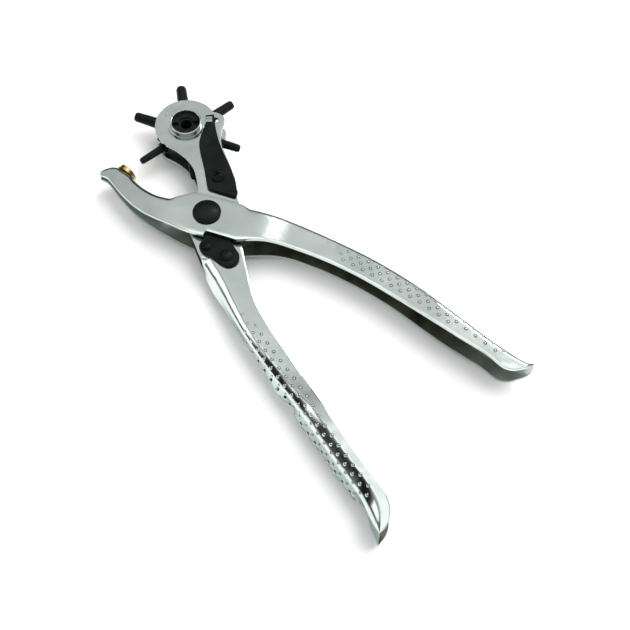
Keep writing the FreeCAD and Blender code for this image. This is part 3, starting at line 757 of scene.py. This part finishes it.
STUD_R = 0.95
STUD_RISE = 0.55
STUD_SINK = 0.08
STUD_PITCH = 5.6
STUD_FADE = 22.0
EDGE_MARGIN = 3.2
STUD_RINGS = 3
STUD_SIDES = 12
ARC_STEPS = 24

# Rows of bumps: height round the section, start trim, end trim, shift in pitches
ARM_ROWS = ((9.0, 0.0, 0.0, 0.0), (11.6, 5.6, 0.0, 0.5), (14.2, 11.2, 4.0, 0.0))
HANDLE_ROWS = ((1.4, 11.2, 4.0, 0.0), (4.3, 5.6, 0.0, 0.5), (7.2, 0.0, 0.0, 0.0), (10.1, 5.6, 2.0, 0.5),
               (13.0, 22.4, 8.0, 0.0))

# The engraved arrow: radii of its two lines and its barbs about the turret, its angles and line width
MARK_RADII = (12.9, 11.3)
MARK_TIP_R = 12.1
MARK_BARB_RADII = (14.3, 9.9)
MARK_START = 98.0
MARK_NECK = 138.0
MARK_TIP = 153.0
MARK_HALF_LINE = 0.16
MARK_LIFT = 0.012


class Studs(Skin):
    """Low round bumps pressed out of the sheet."""

    def dome(self, place, normal, radius, height):
        across = np.cross(normal, (0.0, 0.0, 1.0) if abs(normal[2]) < 0.9 else (1.0, 0.0, 0.0))
        across /= np.linalg.norm(across)
        other = np.cross(normal, across)
        loops = []
        for k in range(STUD_RINGS + 1):
            angle = math.pi / 2 * k / (STUD_RINGS + 0.4)
            reach = radius * math.cos(angle)
            lift = height * math.sin(angle) - STUD_SINK
            loop = []
            for i in range(STUD_SIDES):
                turn = 2 * math.pi * i / STUD_SIDES
                at = place + reach * (math.cos(turn) * across + math.sin(turn) * other) + normal * lift
                loop.append(self.add(*at))
            loops.append(loop + loop[:1])
        for low, high in zip(loops, loops[1:]):
            self.strip(low, high, flip=True)
        self.faces.append(loops[-1][:-1][::-1])
        self.tints.append(0)
        self.faces.append(loops[0][:-1])
        self.tints.append(0)


def surface_point(channel, s, up, upper=True):
    """A place on the outside of a channel, up mm round its section from the mid-plane, and the normal."""
    back, _, inward, width = channel.layout(s, upper)
    bend = channel.bend_size(s, upper, width)
    start = back + inward * bend
    top = channel.height(start, upper)
    drop = channel.drop(bend, top)
    bow = [channel.bow(k / ARC_STEPS) for k in range(ARC_STEPS + 1)]
    arc = np.array([(bend * over, drop * down) for over, down in bow])
    lengths = np.concatenate([[0.0], np.cumsum(np.linalg.norm(np.diff(arc, axis=0), axis=1))])
    across = top - drop + lengths[-1] - up
    if bend - across > width - EDGE_MARGIN:
        return None, None
    if across <= 0.0:
        at = start - inward * across
        place = np.array([at[0], at[1], channel.height(at, upper)])
        normal = np.array([0.0, 0.0, 1.0])
    elif across < lengths[-1]:
        near = np.array([np.interp([across - 0.2, across, across + 0.2], lengths, arc[:, i]) for i in (0, 1)])
        over, down = near[:, 1]
        way = near[:, 2] - near[:, 0]
        way /= np.linalg.norm(way)
        at = start - inward * over
        place = np.array([at[0], at[1], top - down])
        normal = np.array([-inward[0] * way[1], -inward[1] * way[1], way[0]])
    else:
        place = np.array([back[0], back[1], top - drop - (across - lengths[-1])])
        normal = np.array([-inward[0], -inward[1], 0.0])
    if not upper:
        place[2] = -place[2]
        normal[2] = -normal[2]
    return place, normal


def make_studs(name, channel, first, last, rows, body):
    """Rows of bumps along a grip, on both halves, growing from its start."""
    studs = Studs()
    start = channel.back.nearest(first)
    stop = channel.back.nearest(last)
    for upper in (True, False):
        for up, trim, end_trim, shift in rows:
            s = start + trim + shift * STUD_PITCH
            while s < stop - end_trim:
                place, normal = surface_point(channel, s, up, upper)
                if place is not None:
                    fade = min(1.0, (s - start + 4.0) / STUD_FADE)
                    studs.dome(place, normal, STUD_R * (0.65 + 0.35 * fade), STUD_RISE * (0.45 + 0.55 * fade))
                s += STUD_PITCH
    made = studs.make(name, 60.0)
    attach(made, body)
    return made


def turning_mark():
    """A curved arrow engraved on the head plate, showing which way the turret is turned."""
    mark = Skin()
    centre = np.array([(TURRET.x - PIVOT.x) / MM, (TURRET.y - PIVOT.y) / MM])
    top = (NODE_TOP["head_plate_top"] - PIVOT.z) / MM + MARK_LIFT

    def ribbon(points):
        points = np.array(points)
        way = np.gradient(points, axis=0)
        way /= np.linalg.norm(way, axis=1, keepdims=True)
        side = np.stack([-way[:, 1], way[:, 0]], axis=1) * MARK_HALF_LINE
        left = [mark.add(x, y, top) for x, y in points + side]
        right = [mark.add(x, y, top) for x, y in points - side]
        mark.strip(left, right)

    def bow(radius, first, last, count=24):
        angles = np.radians(np.linspace(first, last, count))
        return centre + radius * np.stack([np.cos(angles), np.sin(angles)], axis=1)

    def spot(radius, angle):
        return bow(radius, angle, angle, 1)[0]

    for radius in MARK_RADII:
        ribbon(bow(radius, MARK_START, MARK_NECK))
    ribbon([point for radius in MARK_RADII for point in bow(radius, MARK_START, MARK_START + 0.1, 2)])
    tip = spot(MARK_TIP_R, MARK_TIP)
    for barb_radius, line_radius in zip(MARK_BARB_RADII, MARK_RADII):
        barb = spot(barb_radius, MARK_NECK)
        ribbon([barb, (barb + tip) / 2, tip])
        ribbon([barb, spot(line_radius, MARK_NECK)])
    made = mark.make("turning_mark")
    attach(made, "punch_arm")
    return made


# ---- finishes of the CAD pieces ----


def soften(width, *nodes):
    """A small round on the edges of the stamped and turned pieces."""
    for name in nodes:
        weld = NODES[name].modifiers.new("weld", "WELD")
        weld.merge_threshold = 1e-6
        bevel = NODES[name].modifiers.new("edge", "BEVEL")
        bevel.width = width * MM
        bevel.segments = 2
        bevel.limit_method = "ANGLE"
        bevel.angle_limit = math.radians(40.0)
        bevel.harden_normals = True


def dress(material, *nodes):
    """Gives CAD nodes one material."""
    for name in nodes:
        mesh = NODES[name].data
        mesh.materials.clear()
        mesh.materials.append(material)
        for polygon in mesh.polygons:
            polygon.material_index = 0


focus = add_camera()
add_world()
add_floor()
for name, place, size, power, mirrored in LIGHTS:
    area_light(name, place, focus, size, power, mirrored)

plated = plated_steel()
inside = plated_inside()
black = black_steel("black_coat", (0.003, 0.004, 0.004), 0.26, 500.0)
oxide = black_steel("black_oxide", (0.003, 0.005, 0.005), 0.30, 900.0)
yellow = brass()
wire = drawn_steel("spring_wire", (0.42, 0.42, 0.43), 0.3)
turned_steel = drawn_steel("turned_steel", (0.55, 0.56, 0.56), 0.25)

arm, arm_channel = make_arm()
handle, handle_channel = make_handle()
for piece in (arm, handle):
    piece.data.materials.append(plated)
    piece.data.materials.append(inside)
arm_studs = make_studs("arm_grip_studs", arm_channel, (60.5, -12.8), (141.0, -75.4), ARM_ROWS, "anvil_frame")
handle_studs = make_studs("handle_grip_studs", handle_channel, (14.5, -57.5), (73.0, -146.5), HANDLE_ROWS,
                          "punch_arm")
mark = turning_mark()
for piece in (arm_studs, handle_studs):
    piece.data.materials.append(plated)
mark.data.materials.append(inside)
soften(0.22, "lock_lever", "head_plate_top", "head_plate_bottom", "link_plate_top", "link_plate_bottom",
       "index_pawl", "lever_nut")
dress(plated, "head_tie_rivets", "head_plate_top", "head_plate_bottom", "turret_ring_top",
      "turret_ring_bottom", "index_pawl")
dress(black, "main_pivot_rivet", "link_plate_top", "link_plate_bottom", "link_rivet", "link_screw",
      "lever_screw", "lever_nut", "lock_lever")
dress(oxide, "turret_body", *["punch_tube_%d" % (i + 1) for i in range(6)])
dress(yellow, "anvil_disc")
dress(wire, "opening_spring")
dress(turned_steel, "pivot_bush", "neck_spacer")
